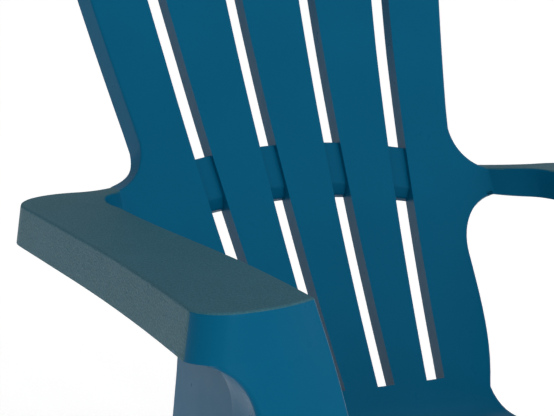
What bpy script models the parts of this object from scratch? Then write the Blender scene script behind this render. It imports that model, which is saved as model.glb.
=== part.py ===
"""One-size resin adirondack chair: fanned back, two tiers of slots, broad arms, slatted seat.

The chair faces -Y with +Z up, in metres.  Left and right are named as someone facing the
chair sees them, so right is +X.  Every member is a thin moulded wall: an open sheet laid
out in the member's own coordinates and then thickened on its hidden side.
"""
from math import cos, pi, radians, sin, sqrt

import bmesh
import bpy
from mathutils import Vector

# ------------------------------------------------------------------ driving dimensions
WALL = 0.0035            # moulded wall thickness
GAP = 0.0003             # joint gap between neighbouring members
JOINT = 0.0009           # gap where the two walls meet at a slant
CENTRE_Y = -0.0036          # moves the model so that the origin is under the middle of its box

BACK_Y, BACK_Z = 0.2481, 0.5765   # middle of the back at the waist band
LEAN = radians(30.9)              # lean of the back at the waist band, from upright
CURL = -0.3836                    # change of lean, in radians per metre up the back
WRAP = 0.2406                     # sideways hollow of the back, 1/m

SLOT_INNER = (0.0403, 0.0341, 0.0209)   # distance from the middle, fan per metre, width
SLOT_OUTER = (0.1227, 0.1040, 0.0226)
SIDE_EDGE, SIDE_FAN = 0.1919, 0.1662
SLOT_DEPTH = 0.022                # depth of the walls beside the slots
FLANGE = 0.029                    # depth of the outer flange of the back
FLARE = 0.003                     # outward flare of that flange

SLOT_END, SLOT_END_ARCH = -0.2870, 0.182
SLOT_TOP, SLOT_TOP_ARCH = 0.352, -0.9
BAND_TOP, BAND_BOTTOM, BAND_ARCH = 0.0225, -0.0415, -0.744
BAND_RECESS, BAND_RAMP, BAND_RAMP_DEPTH = 0.006, 0.012, 0.008
BAND_HALF = 0.185
CROWN_TOP, CROWN_ARCH, CROWN_CORNER = 0.412, -1.0, 0.045

EAR_X = 0.2320                    # where the back's ear meets the arm's corner piece
EAR_TOP = (0.2475, 0.0300, 0.0500, 0.0575)     # fillet: centre x, centre s, half axes
EAR_BOTTOM = (0.2400, -0.1350, 0.0580, 0.0760)
EAR_HIGH = EAR_TOP[1] - EAR_TOP[3] * sqrt(1 - ((EAR_TOP[0] - EAR_X) / EAR_TOP[2]) ** 2)
SIDE_TAPER, SIDE_TAPER_BEND = 0.0226, 4.48      # inward run of the side below the ear

ARM_Z = 0.560
ARM_INNER = 0.2735                # the arm's inner edge, and its slight wave
ARM_WAVE, ARM_WAVE_Y, ARM_WAVE_HALF = 0.0042, -0.12, 0.31
ARM_OUTER, ARM_BOW, ARM_BOW_Y, ARM_BOW_RUN = 0.3690, 0.0135, -0.05, 0.35
ARM_FRONT, ARM_FRONT_X, FRONT_BOW = -0.418, 0.350, 0.0273
FRONT_BOW_LOW_Z = 0.30            # the front is straight across below this height
ARM_REAR, ARM_REAR_R = 0.208, 0.075
ARM_CORNER_R = 0.028
HOOK_END_Y = 0.090                # the arm's inner edge is straight in front of this
HOOK_CUT = 0.52                   # share of the curved inner edge on the corner piece
HOOK_LEAD, HOOK_TAIL = Vector((0.029, -0.048, 0.0)), Vector((0.010, 0.060, 0.0))
ARM_DRAFT = 0.005
SKIRT_OUTER, SKIRT_INNER = 0.041, 0.034

LEG_TOP_Z = ARM_Z - SKIRT_OUTER - JOINT
LEG_RAKE = 0.070                  # forward rake of the front legs per metre down
LEG_OUTER, LEG_FOOT_OUTER = 0.334, 0.346
LEG_FILLET_Z = 0.462
LEG_LIP = 0.004                   # upright lip where the leg meets the arm's skirt
ANKLE_Z = 0.024                   # each leg stands upright below this height
LEG_WIDE_Z, LEG_WIDE_X, LEG_FOOT_INNER, LEG_INNER_POWER = 0.330, 0.2375, 0.2640, 2.1
LEG_REAR_Y, LEG_REAR_Z, LEG_REAR_SLOPE, LEG_FOOT_REAR = -0.219, 0.4795, 0.19, -0.348
LEG_CORNER_R = 0.005
BOARD_DEPTH, BOARD_STEP = 0.057, 0.004          # return of the front board, step behind it
WALL_LEAN = 0.002                 # draft of the side walls towards their rear edges
PAD = 0.006                       # sole of each foot

BASE_R = 0.070                    # bend between back and seat
BASE_S = -0.300                   # the bend starts here on the back
SEAT_TILT = radians(8.0)
SEAT_RUN = 0.393                  # length of the straight part of the seat
SEAT_DISH = 0.12                  # sideways hollow of the seat, 1/m
SEAT_REAR_W, SEAT_REAR_Y, SEAT_FLARE = 0.1589, 0.0775, 0.165
SEAT_BORDER = 0.026
SLAT_PITCH, SLAT_SLOT, SLAT_COUNT = 0.066, 0.010, 5
LIP = 0.012
NOSE_R = 0.045
RAIL_DEPTH = 0.055
APRON_BOTTOM, APRON_RISE = 0.235, 0.030
APRON_SET = 0.006                 # the apron lies behind the front of the legs

REAR_LEG_TOP_X, REAR_LEG_FOOT_X = 0.1545, 0.2150
REAR_LEG_TOP = ((0.018, 0.288), (0.100, 0.316))    # front and rear corners: y, z
REAR_LEG_FOOT = (0.340, 0.428)
REAR_LEG_FLANGE = 0.032

BLUE = (0.0, 0.085, 0.165, 1.0)
BLUE_GRAINED = (0.005, 0.075, 0.115, 1.0)
DARK = (0.02, 0.025, 0.03, 1.0)

# ------------------------------------------------------------------------------- scene
for old in list(bpy.data.objects):
    bpy.data.objects.remove(old, do_unlink=True)
chair = bpy.data.collections.new("adirondack_chair")
bpy.context.scene.collection.children.link(chair)


def material(name, colour, roughness):
    made = bpy.data.materials.new(name)
    made.use_nodes = True
    shader = made.node_tree.nodes["Principled BSDF"]
    shader.inputs["Base Color"].default_value = colour
    shader.inputs["Roughness"].default_value = roughness
    shader.inputs["Metallic"].default_value = 0.0
    return made


LOOKS = {"smooth": (BLUE, 0.35), "grained": (BLUE_GRAINED, 0.6), "pad": (DARK, 0.8)}


def add_member(name, mesh_maker, look, thickness=WALL):
    """Link one member: its open sheet, its own material, and the wall thickness."""
    mesh = bpy.data.meshes.new(name)
    bm = bmesh.new()
    mesh_maker(bm)
    bmesh.ops.translate(bm, verts=bm.verts, vec=(0.0, CENTRE_Y, 0.0))
    bm.to_mesh(mesh)
    bm.free()
    member = bpy.data.objects.new(name, mesh)
    mesh.materials.append(material(name + "_finish", *LOOKS[look]))
    chair.objects.link(member)
    if thickness:
        shell = member.modifiers.new("wall", "SOLIDIFY")
        shell.thickness = thickness
        shell.offset = -1.0
        shell.use_even_offset = True
    return member


def add_sheet(name, rows, facing, look="smooth", thickness=WALL):
    """A grid laid through rows of points; its outer side faces the given direction."""
    across, along = len(rows[0]) - 1, len(rows) - 1

    def make(bm):
        bmesh.ops.create_grid(bm, x_segments=across, y_segments=along, size=1.0)
        for vertex in bm.verts:
            column = round((vertex.co.x + 1) / 2 * across)
            row = round((vertex.co.y + 1) / 2 * along)
            vertex.co = rows[row][column]
        bm.normal_update()
        total = Vector((0.0, 0.0, 0.0))
        for face in bm.faces:
            total += face.normal * face.calc_area()
        if total.dot(Vector(facing)) < 0:
            bmesh.ops.reverse_faces(bm, faces=bm.faces)

    return add_member(name, make, look, thickness)


def add_tray(name, top, bottom, look):
    """A flat top with a skirt all round, open below."""
    def make(bm):
        upper = [bm.verts.new(point) for point in top]
        lower = [bm.verts.new(point) for point in bottom]
        bm.faces.new(upper)
        for i in range(len(top)):
            j = (i + 1) % len(top)
            bm.faces.new((upper[i], lower[i], lower[j], upper[j]))
        bmesh.ops.recalc_face_normals(bm, faces=bm.faces)
        bm.normal_update()
        if next(iter(bm.faces)).normal.z < 0:
            bmesh.ops.reverse_faces(bm, faces=bm.faces)

    return add_member(name, make, look)


def add_plate(name, outline, low, high, look):
    """A solid plate with the given outline, between two heights."""
    def make(bm):
        face = bm.faces.new([bm.verts.new((x, y, low)) for x, y in outline])
        raised = bmesh.ops.extrude_face_region(bm, geom=[face])["geom"]
        moved = [item for item in raised if isinstance(item, bmesh.types.BMVert)]
        bmesh.ops.translate(bm, verts=moved, vec=(0.0, 0.0, high - low))
        bmesh.ops.recalc_face_normals(bm, faces=bm.faces)

    return add_member(name, make, look, thickness=0.0)


def mirrored(rows, side):
    return [[Vector((point.x * side, point.y, point.z)) for point in row] for row in rows]


def spread(start, end, count):
    return [start + (end - start) * i / count for i in range(count + 1)]


def smooth(t):
    t = min(1.0, max(0.0, t))
    return t * t * (3 - 2 * t)


def mix(a, b, t):
    return a + (b - a) * t


SIDES = ((1, "right"), (-1, "left"))


# -------------------------------------------------------------------- the back's surface
def back_point(x, s, n=0.0):
    """Point x across and s up the back, n in front of its face (behind it if negative)."""
    lean = LEAN + CURL * s
    y = BACK_Y + s * sin(LEAN) + CURL * s * s / 2 * cos(LEAN) - WRAP * x * x / 2
    z = BACK_Z + s * cos(LEAN) - CURL * s * s / 2 * sin(LEAN)
    normal = Vector((-WRAP * x * cos(lean), -cos(lean), sin(lean))).normalized()
    return Vector((x, y, z)) + n * normal


def slot_edge(slot, side):
    centre, fan, width = slot
    return lambda s: centre + fan * s + side * width / 2


def side_edge(s):
    """Outer edge of the back, with the fillets that run out into the ear."""
    cx, cs, half_x, half_s = EAR_TOP
    if s > cs:
        return max(SIDE_EDGE + SIDE_FAN * s, cx - half_x)
    if s > cs - half_s:
        x = cx - half_x * sqrt(1 - ((cs - s) / half_s) ** 2)
        return min(x, EAR_X)
    cx, cs, half_x, half_s = EAR_BOTTOM
    if s > cs + half_s:
        return EAR_X
    if s > cs:
        x = cx - half_x * sqrt(1 - ((s - cs) / half_s) ** 2)
        return min(x, EAR_X)
    below = cs - s
    return cx - half_x - SIDE_TAPER * below - SIDE_TAPER_BEND * below ** 3


def slat_rows(left, right, stations, depths, columns):
    """Rows of a channel section; each station is s in the middle and its arch."""
    rows = []
    for (middle, arch), (left_depth, right_depth, flare) in zip(stations, depths):
        row = []
        for fraction in spread(0.0, 1.0, columns):
            s = middle
            for _ in range(3):
                x = left(s) + (right(s) - left(s)) * fraction
                s = middle + arch * x * x
            row.append((x, s))
        (x0, s0), (x1, s1) = row[0], row[-1]
        rows.append([back_point(x0, s0, -left_depth)]
                    + [back_point(x, s) for x, s in row]
                    + [back_point(x1 + flare, s1, -right_depth)])
    return rows


SHALLOW = BAND_RECESS - GAP       # walls this deep clear the waist band behind them
SLAT_STATIONS = [(SLOT_END + JOINT, SLOT_END_ARCH), (-0.24, 0.1), (-0.18, 0.0), (-0.12, -0.4),
                 (BAND_BOTTOM - 0.005, BAND_ARCH), (BAND_BOTTOM - 0.003, BAND_ARCH),
                 (BAND_TOP + 0.003, BAND_ARCH), (BAND_TOP + 0.005, BAND_ARCH),
                 (0.09, -0.5), (0.16, -0.3), (0.23, -0.4), (0.29, -0.6),
                 (SLOT_TOP - JOINT, SLOT_TOP_ARCH)]
SHALLOW_STATIONS = (5, 6)


def build_inner_slats():
    depths = [(SHALLOW,) * 2 + (0.0,) if i in SHALLOW_STATIONS else (SLOT_DEPTH,) * 2 + (0.0,)
              for i in range(len(SLAT_STATIONS))]
    near = slot_edge(SLOT_INNER, -1)
    rows = slat_rows(lambda s: -near(s), near, SLAT_STATIONS, depths, 2)
    add_sheet("back_slat_center", rows, (0, -1, 0.6))
    rows = slat_rows(slot_edge(SLOT_INNER, 1), slot_edge(SLOT_OUTER, -1),
                     SLAT_STATIONS, depths, 2)
    for side, word in SIDES:
        add_sheet("back_slat_inner_" + word, mirrored(rows, side), (0, -1, 0.6))


def build_outer_slats():
    """The outer slats carry the ears, which run out towards the arms."""
    below = [-0.24, -0.19, -0.135, -0.11, -0.092, -0.078, -0.068, -0.0625, -0.059]
    above = [-0.0380, EAR_HIGH, -0.0205, -0.0120, -0.0010, 0.0125]
    upper = [0.0145, 0.030, 0.0427, 0.09, 0.15, 0.21, 0.26]
    stations = [(SLOT_END + JOINT, SLOT_END_ARCH)] + [(s, 0.0) for s in below]
    first_shallow = len(stations)
    stations += [(-0.0631, 0.336)] + [(s, 0.0) for s in above]
    last_shallow = len(stations) - 1
    stations += [(s, 0.0) for s in upper] + [(0.30, -0.5), (SLOT_TOP - JOINT, SLOT_TOP_ARCH)]
    depths = []
    for i, (middle, arch) in enumerate(stations):
        inner = SHALLOW if first_shallow <= i <= last_shallow else SLOT_DEPTH
        flare = FLARE if side_edge(middle) < EAR_X - 0.004 and i != first_shallow else 0.0
        depths.append((inner, FLANGE, flare))
    rows = slat_rows(slot_edge(SLOT_OUTER, 1), side_edge, stations, depths, 3)
    for side, word in SIDES:
        add_sheet("back_slat_outer_" + word, mirrored(rows, side), (0, -1, 0.6))


def build_waist_band():
    section = [(BAND_TOP, -SLOT_DEPTH), (BAND_TOP, -BAND_RECESS),
               (BAND_BOTTOM + BAND_RAMP, -BAND_RECESS),
               (BAND_BOTTOM, -BAND_RECESS - BAND_RAMP_DEPTH),
               (BAND_BOTTOM, -SLOT_DEPTH)]
    rows = []
    for s, n in section:
        rows.append([back_point(x, s + BAND_ARCH * x * x, n)
                     for x in spread(-BAND_HALF, BAND_HALF, 12)])
    add_sheet("back_waist_band", rows, (0, -1, 0.6))


def crown_outline(steps):
    """Right half of the crown's outer edge, from the side upwards to the middle."""
    bottom = SLOT_TOP + SLOT_TOP_ARCH * (SIDE_EDGE + SIDE_FAN * 0.3) ** 2
    corner_x = SIDE_EDGE + SIDE_FAN * 0.335 - CROWN_CORNER
    corner_s = CROWN_TOP + CROWN_ARCH * corner_x ** 2 - CROWN_CORNER
    points = [(SIDE_EDGE + SIDE_FAN * bottom, bottom)]
    turn = pi / 2 - 2 * abs(CROWN_ARCH) * corner_x
    for angle in spread(-0.16, turn, steps):
        points.append((corner_x + CROWN_CORNER * cos(angle), corner_s + CROWN_CORNER * sin(angle)))
    last = points[-1][0]
    for x in spread(last, 0.0, steps)[1:]:
        points.append((x, CROWN_TOP + CROWN_ARCH * x * x))
    return points


def build_crown():
    half = crown_outline(5)
    outline = half + [(-x, s) for x, s in reversed(half[:-1])]
    width = half[0][0]
    lower, face, edge, flange = [], [], [], []
    for i, (x, s) in enumerate(outline):
        foot_x = (width - 0.012) * cos(pi * i / (len(outline) - 1))
        foot_s = SLOT_TOP + SLOT_TOP_ARCH * foot_x ** 2
        lower.append(back_point(foot_x, foot_s))
        face.append(back_point((x + foot_x) / 2, (s + foot_s) / 2))
        edge.append(back_point(x, s))
        flare = FLARE * x / width
        flange.append(back_point(x + flare, s + FLARE * (1 - abs(x) / width), -FLANGE))
    add_sheet("back_crown", [lower, face, edge, flange], (0, -1, 0.6))


# -------------------------------------------------------------------- the seat's surface
def seat_half_width(y):
    return SEAT_REAR_W + SEAT_FLARE * (SEAT_REAR_Y - y)


def seat_centre(q):
    """Middle line from the back down round the bend and along the seat: y, z, heading."""
    start = back_point(0.0, BASE_S)
    first = LEAN + CURL * BASE_S
    last = pi / 2 + SEAT_TILT
    bend = BASE_R * (last - first)
    if q < bend:
        heading = first + q / BASE_R
        y = start.y + BASE_R * (cos(heading) - cos(first))
        z = start.z - BASE_R * (sin(heading) - sin(first))
        return y, z, heading
    y = start.y + BASE_R * (cos(last) - cos(first))
    z = start.z - BASE_R * (sin(last) - sin(first))
    run = min(q - bend, SEAT_RUN)
    y -= run * sin(last)
    z -= run * cos(last)
    if q - bend <= SEAT_RUN:
        return y, z, last
    heading = last - (q - bend - SEAT_RUN) / NOSE_R
    y -= NOSE_R * (cos(heading) - cos(last))
    z += NOSE_R * (sin(heading) - sin(last))
    return y, z, heading


BEND_LENGTH = BASE_R * (pi / 2 + SEAT_TILT - LEAN - CURL * BASE_S)
NOSE_LENGTH = NOSE_R * (pi / 2 + SEAT_TILT - radians(6.0))


def seat_point(x, q, n=0.0):
    y, z, heading = seat_centre(q)
    rise = SEAT_DISH * x * x + n
    return Vector((x, y - cos(heading) * rise, z + sin(heading) * rise))


def build_base():
    """The flush panel under the slots, bending forward into the seat."""
    rows = []
    for middle, arch in ((SLOT_END, SLOT_END_ARCH), (-0.2935, 0.09)):
        row = []
        for fraction in spread(-1.0, 1.0, 6):
            x = fraction * (side_edge(-0.2895) if arch > 0.1 else side_edge(-0.2935))
            row.append(back_point(x, middle + arch * x * x))
        outer = row[-1].x
        s = middle + arch * outer * outer
        rows.append([back_point(-outer - FLARE, s, -FLANGE)] + row
                    + [back_point(outer + FLARE, s, -FLANGE)])
    for q in spread(0.0, BEND_LENGTH, 5):
        half = seat_half_width(seat_centre(q)[0])
        row = [seat_point(fraction * half, q) for fraction in spread(-1.0, 1.0, 6)]
        rows.append([seat_point(-half - FLARE, q, -FLANGE)] + row
                    + [seat_point(half + FLARE, q, -FLANGE)])
    add_sheet("seat_back_bend", rows, (0, -0.5, 1))


def build_seat_slats():
    for number in range(SLAT_COUNT):
        start = BEND_LENGTH + SLAT_SLOT + number * SLAT_PITCH
        end = start + SLAT_PITCH - SLAT_SLOT
        rows = []
        for q, n in ((start, -LIP), (start, 0), ((start + end) / 2, 0), (end, 0), (end, -LIP)):
            half = seat_half_width(seat_centre(q)[0]) - SEAT_BORDER - JOINT
            rows.append([seat_point(f * half, q, n) for f in spread(-1.0, 1.0, 6)])
        add_sheet("seat_slat_%d" % (number + 1), rows, (0, 0, 1))


def build_seat_nose():
    """The front slat, rolling over into the apron."""
    start = BEND_LENGTH + SLAT_SLOT + SLAT_COUNT * SLAT_PITCH
    half = seat_half_width(seat_centre(BEND_LENGTH + SEAT_RUN)[0]) - SEAT_BORDER - JOINT
    stations = [(start, -LIP), (start, 0.0), (BEND_LENGTH + SEAT_RUN, 0.0)]
    stations += [(BEND_LENGTH + SEAT_RUN + q, 0.0) for q in spread(0.0, NOSE_LENGTH, 5)[1:]]
    rows = []
    for q, n in stations:
        wide = min(half, seat_half_width(seat_centre(q)[0]) - SEAT_BORDER - JOINT)
        rows.append([seat_point(f * wide, q, n) for f in spread(-1.0, 1.0, 6)])
    add_sheet("seat_nose", rows, (0, -0.5, 1))


def apron_y(z):
    return ARM_FRONT + APRON_SET - LEG_RAKE * (LEG_TOP_Z - z)


def build_apron():
    """Panel below the nose, between the front legs, with an arched lower edge."""
    top = seat_point(0.0, BEND_LENGTH + SEAT_RUN + NOSE_LENGTH)
    half = seat_half_width(seat_centre(BEND_LENGTH + SEAT_RUN)[0]) - GAP
    rows = []
    for depth in (0.0, 0.5, 1.0):
        row = []
        for f in spread(-1.0, 1.0, 8):
            x = f * half
            high = top.z - 0.001 - GAP
            low = APRON_BOTTOM + APRON_RISE * (1 - f * f)
            z = high + (low - high) * depth
            row.append(Vector((x, apron_y(z), z)))
        rows.append(row)
    add_sheet("seat_apron", rows, (0, -1, 0))


def build_side_rails():
    """Borders of the seat with their deep outer skirts."""
    rows = []
    for q in spread(BEND_LENGTH + JOINT, BEND_LENGTH + SEAT_RUN, 4):
        half = seat_half_width(seat_centre(q)[0])
        rows.append([seat_point(half - SEAT_BORDER, q, -LIP), seat_point(half - SEAT_BORDER, q),
                     seat_point(half, q), seat_point(half, q, -RAIL_DEPTH)])
    nose = BEND_LENGTH + SEAT_RUN
    half = seat_half_width(seat_centre(nose)[0])
    for q in spread(0.0, NOSE_LENGTH, 5)[1:]:
        _, _, heading = seat_centre(nose + q)
        depth = RAIL_DEPTH + (0.022 - RAIL_DEPTH) * q / NOSE_LENGTH
        rows.append([seat_point(half - SEAT_BORDER, nose + q, -LIP),
                     seat_point(half - SEAT_BORDER, nose + q),
                     seat_point(half, nose + q), seat_point(half, nose + q, -depth)])
    for side, word in SIDES:
        add_sheet("seat_rail_" + word, mirrored(rows, side), (side, -0.3, 1))


def build_seat_ribs():
    """Stiffening ribs that run under the slats."""
    rows = []
    for n in (-LIP - 0.0008, -0.042):
        rows.append([seat_point(0.075, q, n) for q in spread(BEND_LENGTH, BEND_LENGTH + 0.385, 6)])
    for side, word in SIDES:
        add_sheet("seat_rib_" + word, mirrored(rows, side), (side, 0, 0))


# ----------------------------------------------------------------------------- the arms
def arm_inner(y):
    return ARM_INNER + ARM_WAVE * sin(pi * (y - ARM_WAVE_Y) / ARM_WAVE_HALF)


def arm_outer(y):
    return ARM_OUTER + ARM_BOW * (min(0.0, y - ARM_BOW_Y) / ARM_BOW_RUN) ** 2


def arm_front(x):
    return ARM_FRONT + FRONT_BOW * (max(0.0, ARM_FRONT_X - x) / (ARM_FRONT_X - ARM_INNER)) ** 2


HOOK_START = back_point(EAR_X, EAR_HIGH) + Vector((0.0012, -0.0005, 0.0))
HOOK_END = Vector((arm_inner(HOOK_END_Y), HOOK_END_Y, ARM_Z))
WING_REAR_END = (arm_outer(ARM_REAR - ARM_REAR_R) - ARM_REAR_R, ARM_REAR)
WING_REAR_SET = 0.0045                # the corner piece's rear edge clears the ear's flange
WING_CUT_SET = 0.0018                 # the corner piece's end clears the arm's end


def hook_inner(t):
    """Inner top edge, curving from the ear (0) to the straight part of the arm (1)."""
    start = Vector((HOOK_START.x, HOOK_START.y, ARM_Z))
    r = 1 - t
    point = (start * r ** 3 + (start + HOOK_LEAD) * 3 * r * r * t
             + (HOOK_END + HOOK_TAIL) * 3 * r * t * t + HOOK_END * t ** 3)
    point.z += (HOOK_START.z - ARM_Z) * (1 - smooth(t / HOOK_CUT))
    return point


def arm_loops():
    """Top outline of the arm and the lower edge of its skirt, going round it once."""
    inner = [hook_inner(t) for t in spread(HOOK_CUT, 1.0, 3)]
    inner_corner = arm_inner(arm_front(ARM_INNER))
    front_inner = arm_front(inner_corner)
    inner += [Vector((arm_inner(y), y, ARM_Z)) for y in spread(HOOK_END_Y, front_inner, 8)[1:]]
    leg_top_inner = leg_inner(LEG_TOP_Z)
    top = []
    for point in inner:
        over_leg = smooth((leg_rear(LEG_TOP_Z) + 0.10 - point.y) / 0.10)
        lean = mix(0.001, point.x - leg_top_inner, over_leg)
        top.append((point.x, point.y, mix(SKIRT_INNER, SKIRT_OUTER, over_leg), (-lean, 0.0)))
    outer_corner = arm_outer(ARM_FRONT) - ARM_CORNER_R
    lean = inner_corner - leg_top_inner
    for share in spread(0.0, 1.0, 6)[1:-1]:
        x = mix(inner_corner, outer_corner, share)
        top.append((x, arm_front(x), SKIRT_OUTER, (-lean * (1 - share), -0.001)))
    corner_y = arm_front(outer_corner) + ARM_CORNER_R
    for angle in spread(-pi / 2, 0.0, 5):
        top.append((outer_corner + ARM_CORNER_R * cos(angle), corner_y + ARM_CORNER_R * sin(angle),
                    SKIRT_OUTER, (ARM_DRAFT * cos(angle), 0.0)))
    rear_y = ARM_REAR - ARM_REAR_R
    for y in spread(corner_y, rear_y, 6)[1:-1]:
        top.append((arm_outer(y), y, SKIRT_OUTER, (ARM_DRAFT, 0.0)))
    rear_x = WING_REAR_END[0]
    for angle in spread(0.0, pi / 2, 5):
        top.append((rear_x + ARM_REAR_R * cos(angle), rear_y + ARM_REAR_R * sin(angle),
                    SKIRT_OUTER, (ARM_DRAFT * cos(angle), ARM_DRAFT * sin(angle))))
    step = WALL + 0.001           # clears the ends of the corner piece's two skirts
    top.append((rear_x, ARM_REAR - step, SKIRT_OUTER, (0.0, 0.0)))
    top.append((inner[0].x + 2 * step, inner[0].y, SKIRT_INNER, (0.0, 0.0)))
    return top


def build_arms():
    loop = arm_loops()
    for side, word in SIDES:
        top = [Vector((x * side, y, ARM_Z)) for x, y, _, _ in loop]
        bottom = [Vector(((x + draft[0]) * side, y + draft[1], ARM_Z - drop))
                  for x, y, drop, draft in loop]
        add_tray("arm_" + word, top, bottom, "grained")


def build_wings():
    """Corner pieces that carry each arm round into the ear of the back."""
    low_y = back_point(EAR_X, EAR_BOTTOM[1] + EAR_BOTTOM[3]).y
    low_z = ARM_Z - SKIRT_INNER
    rear = back_point(EAR_X, EAR_HIGH, -FLANGE)
    start_x, end_x = rear.x + WING_REAR_SET, WING_REAR_END[0] - JOINT
    rows = []
    for step in spread(0.0, 1.0, 6):
        top = hook_inner(step * HOOK_CUT)
        shift = (HOOK_START.y - low_y) * cos(step * pi / 2)
        cut = WING_CUT_SET * step
        edge_x = mix(start_x, end_x, step)
        edge_y = mix(WING_REAR_END[1], rear.y, (1 - step) ** 2)
        edge_z = mix(rear.z, ARM_Z, sin(step * pi / 2))
        drop = mix(0.004, SKIRT_OUTER, step)
        rows.append([Vector((edge_x, edge_y + cut, edge_z - drop)),
                     Vector((edge_x, edge_y + cut, edge_z)), Vector((top.x, top.y + cut, top.z)),
                     Vector((top.x - 0.001 * step, top.y - shift + cut, low_z))])
    for side, word in SIDES:
        add_sheet("arm_corner_" + word, mirrored(rows, side), (-side, -0.4, 1))


# --------------------------------------------------------------------------- front legs
def leg_outer(z):
    """Outer face of the front board: the leg's side, sweeping out under the arm."""
    if z > LEG_FILLET_Z:
        rise = min(1.0, (z - LEG_FILLET_Z) / (LEG_TOP_Z - LEG_LIP - LEG_FILLET_Z))
        reach = arm_outer(ARM_FRONT) + ARM_DRAFT - LEG_OUTER
        return LEG_OUTER + reach * (1 - sqrt(1 - rise * rise))
    fall = 1 - max(z, ANKLE_Z) / LEG_FILLET_Z
    return LEG_OUTER + (LEG_FOOT_OUTER - LEG_OUTER) * fall


def leg_inner(z):
    if z > LEG_WIDE_Z:
        rise = (z - LEG_WIDE_Z) / (ARM_Z - LEG_WIDE_Z)
        return LEG_WIDE_X + (ARM_INNER - LEG_WIDE_X) * rise ** LEG_INNER_POWER
    fall = 1 - max(z, ANKLE_Z) / LEG_WIDE_Z
    return LEG_WIDE_X + (LEG_FOOT_INNER - LEG_WIDE_X) * (1 - cos(pi * fall)) / 2


def leg_rear(z):
    """Rear edge of the leg's side walls."""
    if z > LEG_WIDE_Z:
        return LEG_REAR_Y + LEG_REAR_SLOPE * (LEG_REAR_Z - z)
    top = LEG_REAR_Y + LEG_REAR_SLOPE * (LEG_REAR_Z - LEG_WIDE_Z)
    fall = 1 - max(z, ANKLE_Z) / LEG_WIDE_Z
    run_on = LEG_REAR_SLOPE * LEG_WIDE_Z * fall * (1 - fall) ** 2
    return top + run_on + (LEG_FOOT_REAR - top) * smooth(fall)


def front_y(x, z):
    """Front face of the leg, bowed back towards the inner edge near the arm."""
    share = max(0.0, ARM_FRONT_X - x) / (ARM_FRONT_X - leg_inner(z))
    bow = FRONT_BOW * smooth((z - FRONT_BOW_LOW_Z) / (ARM_Z - FRONT_BOW_LOW_Z)) * share ** 2
    return ARM_FRONT + bow - LEG_RAKE * (LEG_TOP_Z - max(z, ANKLE_Z))


def leg_plan(z):
    """Half-open plan of the leg: inner wall, front, board return, step and outer wall."""
    inner, outer, rear = leg_inner(z), leg_outer(z), leg_rear(z)
    wall = leg_outer(min(z, LEG_FILLET_Z)) - BOARD_STEP
    radius = max(LEG_CORNER_R, ARM_CORNER_R - (leg_outer(LEG_TOP_Z) - outer))
    plan = [(inner + WALL_LEAN, rear)]
    plan += [(x, front_y(x, z)) for x in spread(inner, outer - radius, 4)]
    centre_y = front_y(outer - radius, z) + radius
    plan += [(outer - radius + radius * cos(angle), centre_y + radius * sin(angle))
             for angle in spread(-pi / 2, 0.0, 2)[1:]]
    board = front_y(outer, z) + BOARD_DEPTH
    return plan + [(outer, board), (wall, board), (wall - WALL_LEAN, rear)]


def build_front_legs():
    flare = LEG_TOP_Z - LEG_LIP - LEG_FILLET_Z
    fillet = [LEG_FILLET_Z + flare * sin(angle) for angle in spread(0, pi / 2, 5)]
    heights = [PAD + GAP, ANKLE_Z] + spread(0.07, 0.42, 6) + fillet + [LEG_TOP_Z]
    rows = [[Vector((x, y, z)) for x, y in leg_plan(z)] for z in heights]
    for side, word in SIDES:
        add_sheet("front_leg_" + word, mirrored(rows, side), (0, -1, 0))
        outline = [(x * side, y) for x, y in leg_plan(PAD + GAP)]
        add_plate("front_foot_" + word, outline, 0.0, PAD, "pad")


# ---------------------------------------------------------------------------- rear legs
def rear_leg_corners(step):
    """Front and rear corners of the leg's outer plate; step 0 is the top, 1 the floor."""
    (front_y0, front_z0), (rear_y0, rear_z0) = REAR_LEG_TOP
    x = REAR_LEG_TOP_X + (REAR_LEG_FOOT_X - REAR_LEG_TOP_X) * step
    drop = Vector((0.0, 0.0, ANKLE_Z * step))
    front = Vector((x, front_y0 + (REAR_LEG_FOOT[0] - front_y0) * step, front_z0 * (1 - step)))
    rear = Vector((x, rear_y0 + (REAR_LEG_FOOT[1] - rear_y0) * step, rear_z0 * (1 - step)))
    front, rear = front + drop, rear + drop
    return front, rear


def build_rear_legs():
    rows = []
    turn = Vector((-REAR_LEG_FLANGE, 0.0, 0.0))
    for step in spread(0.0, 1.0, 4):
        front, rear = rear_leg_corners(step)
        rows.append([front + turn, front, rear, rear + turn])
    down = Vector((0.0, 0.0, PAD + GAP - ANKLE_Z))
    rows.append([corner + down for corner in rows[-1]])
    for side, word in SIDES:
        add_sheet("rear_leg_" + word, mirrored(rows, side), (side, 0, 0))
        front, rear = rear_leg_corners(1.0)
        inner = front.x - REAR_LEG_FLANGE
        outline = [(inner, front.y), (front.x, front.y), (rear.x, rear.y), (inner, rear.y)]
        add_plate("rear_foot_" + word, [(x * side, y) for x, y in outline], 0.0, PAD, "pad")


def build_rear_stretcher():
    """Cross member between the rear legs."""
    step = 0.50
    front, rear = rear_leg_corners(step)
    half = front.x - WALL - 0.004
    middle = (front + rear) / 2
    rows = []
    for dy, dz in ((0.014, -0.022), (-0.010, -0.022), (-0.010, 0.018), (0.014, 0.018)):
        rows.append([Vector((f * half, middle.y + dy, middle.z + dz)) for f in (-1, 0, 1)])
    add_sheet("rear_stretcher", rows, (0, -1, 0))


build_inner_slats()
build_outer_slats()
build_waist_band()
build_crown()
build_base()
build_seat_slats()
build_seat_nose()
build_apron()
build_side_rails()
build_seat_ribs()
build_arms()
build_wings()
build_front_legs()
build_rear_legs()
build_rear_stretcher()
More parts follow.
